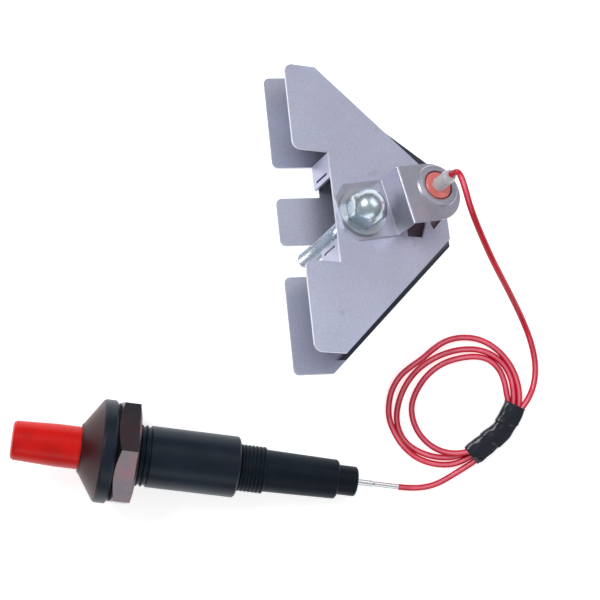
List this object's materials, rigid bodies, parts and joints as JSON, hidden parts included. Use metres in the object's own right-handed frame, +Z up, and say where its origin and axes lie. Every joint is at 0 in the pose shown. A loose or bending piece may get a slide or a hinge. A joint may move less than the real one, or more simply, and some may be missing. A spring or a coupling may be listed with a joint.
{
  "type": "ignition electrode",
  "caption": "Push-button piezo igniter wired by a coiled high-tension lead to a ceramic spark electrode clamped in a two-plate sheet-steel gas collector.",
  "frame": {"origin": "on the bench, under the middle of the hard parts", "axes": "+Z up; the igniter lies roughly along X with its button at -X, and the collector stands on its bolt at +X +Y"},
  "size_m": [0.1898, 0.156, 0.0654],
  "materials": {
    "button_red": "glossy red moulding",
    "body_black": "black moulding with a soft sheen",
    "zinc_plate": "bright zinc plate",
    "sheet_steel": "galvanised sheet, matt",
    "spring_steel": "drawn wire",
    "guide_plastic": "natural nylon",
    "brass_pad": "turned brass",
    "ceramic_salmon": "glazed ceramic",
    "crystal_grey": "fired ceramic",
    "lead_red": "glossy silicone",
    "tape_black": "vinyl tape",
    "sleeve_clear": "translucent silicone"
  },
  "bodies": {
    "frame": {"igniter_barrel": "body_black", "return_spring": "spring_steel", "hammer_spring": "spring_steel", "hammer_guide": "guide_plastic", "impact_pad": "brass_pad", "piezo_crystal": "crystal_grey", "contact_pad": "brass_pad", "rear_housing": "body_black", "terminal_insulator": "body_black", "output_pin": "brass_pad", "igniter_ferrule": "zinc_plate", "collector_front": "sheet_steel", "collector_back": "sheet_steel", "electrode_bracket": "zinc_plate", "clamp_bolt": "zinc_plate", "bolt_washer": "zinc_plate", "clamp_nut": "zinc_plate", "electrode_ceramic": "ceramic_salmon", "electrode_rod": "spring_steel", "terminal_clip": "brass_pad", "terminal_sleeve": "sleeve_clear", "lead_electrode_side": "lead_red", "lead_igniter_side": "lead_red", "lead_coil": "lead_red", "coil_tape": "tape_black"},
    "button": {"push_button": "button_red"},
    "hammer": {"hammer": "spring_steel", "trip_pin": "spring_steel"},
    "washer": {"mounting_washer": "zinc_plate"},
    "nut": {"mounting_nut": "zinc_plate"}
  },
  "joints": [
    {"name": "button_press", "type": "slide", "parent": "frame", "child": "button", "axis": [0.9759, -0.1354, -0.1711], "range_m": [0, 0.008], "stiffness_N_per_m": 1500, "springref_m": -0.003, "deforming": ["return_spring", "hammer_spring"]},
    {"name": "hammer_strike", "type": "slide", "parent": "frame", "child": "hammer", "axis": [0.9759, -0.1354, -0.1711], "range_m": [0, 0.0057], "stiffness_N_per_m": 300, "springref_m": -0.001, "deforming": ["hammer_spring"]},
    {"name": "washer_slide", "type": "slide", "parent": "frame", "child": "washer", "axis": [0.9759, -0.1354, -0.1711], "range_m": [0, 0.0045]},
    {"name": "nut_turn", "type": "hinge", "parent": "washer", "child": "nut", "pos_m": [-0.04301, -0.05883, 0.02093], "axis": [0.9759, -0.1354, -0.1711], "range_deg": [-0.5, 926]}
  ],
  "couplings": [
    {"joint": "nut_turn", "follows": "washer_slide", "rad_per_m": 3590.4}
  ]
}
